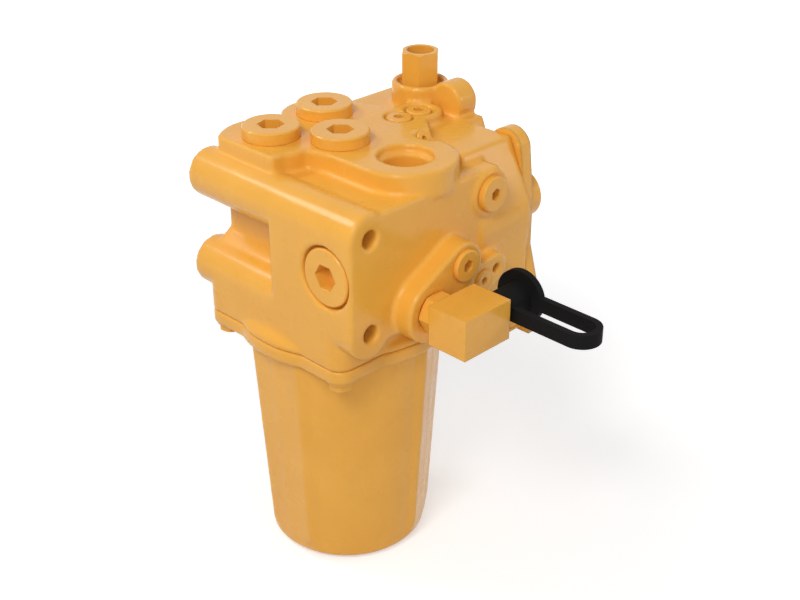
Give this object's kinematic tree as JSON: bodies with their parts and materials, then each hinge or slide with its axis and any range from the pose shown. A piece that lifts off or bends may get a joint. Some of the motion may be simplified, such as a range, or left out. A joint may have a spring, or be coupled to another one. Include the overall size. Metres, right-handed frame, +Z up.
{
  "type": "clutch control valve",
  "caption": "Cast clutch control valve with top port plugs, side elbow and capped test nipple, spool bore, load piston and a bolted-on filter bowl with a pleated element",
  "frame": {"origin": "midway between the two mounting bolt holes, on the mounting face", "axes": "X runs along the mounting bolts from the mounting face to the right-hand face, Y from the front face to the rear cover, Z up, with the filter bowl below"},
  "size_m": [0.2387, 0.1767, 0.2971],
  "materials": {
    "cast_paint": "yellow machine paint over cast iron",
    "bowl_paint": "yellow machine paint over cast aluminium",
    "steel_paint": "yellow machine paint over steel",
    "ground_steel": "ground steel, oiled",
    "spring_steel": "oil-tempered spring wire",
    "seal": "black nitrile",
    "gasket": "dark fibre and rubber gasket sheet",
    "cap_rubber": "matt black moulded rubber",
    "filter_paper": "resin-treated pleated paper"
  },
  "bodies": {
    "housing": {"valve_body": "cast_paint", "rear_cover": "cast_paint", "cover_gasket": "gasket", "cover_bolts": "steel_paint", "spool_end_cap": "steel_paint", "end_cap_seal": "seal", "front_plug": "steel_paint", "front_plug_seal": "seal", "spool_spring": "spring_steel", "top_plugs": "steel_paint", "top_plug_seals": "seal", "pad_plugs": "steel_paint", "angled_plug": "steel_paint", "upper_side_plug": "steel_paint", "high_side_plug": "steel_paint", "small_side_plug": "steel_paint", "inlet_adapter": "steel_paint", "adapter_seal": "seal", "elbow_block": "steel_paint", "elbow_nut": "steel_paint", "elbow_seal": "seal", "test_nipple": "steel_paint", "filter_bowl": "bowl_paint", "bowl_seal": "seal", "bowl_bolts": "steel_paint", "bowl_washers": "steel_paint", "element_media": "filter_paper", "element_core": "ground_steel", "element_top_cap": "ground_steel", "element_bottom_cap": "ground_steel", "element_seal": "seal", "element_spring": "spring_steel", "bypass_seat": "ground_steel", "bypass_spring": "spring_steel"},
    "spool_body": {"spool": "ground_steel"},
    "piston_body": {"load_piston": "ground_steel"},
    "poppet_body": {"bypass_poppet": "ground_steel"},
    "cap_body": {"dust_cap": "cap_rubber"}
  },
  "joints": [
    {"name": "spool_slide", "type": "slide", "parent": "housing", "child": "spool_body", "axis": [0, 1, 0], "range_m": [0, 0.006], "stiffness_N_per_m": 1500, "deforming": ["spool_spring"]},
    {"name": "load_piston_slide", "type": "slide", "parent": "housing", "child": "piston_body", "axis": [0, -1, 0], "range_m": [0, 0.008], "stiffness_N_per_m": 1500, "deforming": ["spool_spring"]},
    {"name": "bypass_poppet_slide", "type": "slide", "parent": "housing", "child": "poppet_body", "axis": [0, 0, 1], "range_m": [0, 0.004], "stiffness_N_per_m": 1500, "deforming": ["bypass_spring"]},
    {"name": "dust_cap_slide", "type": "slide", "parent": "housing", "child": "cap_body", "axis": [0, 1, 0], "range_m": [0, 0.026]}
  ]
}
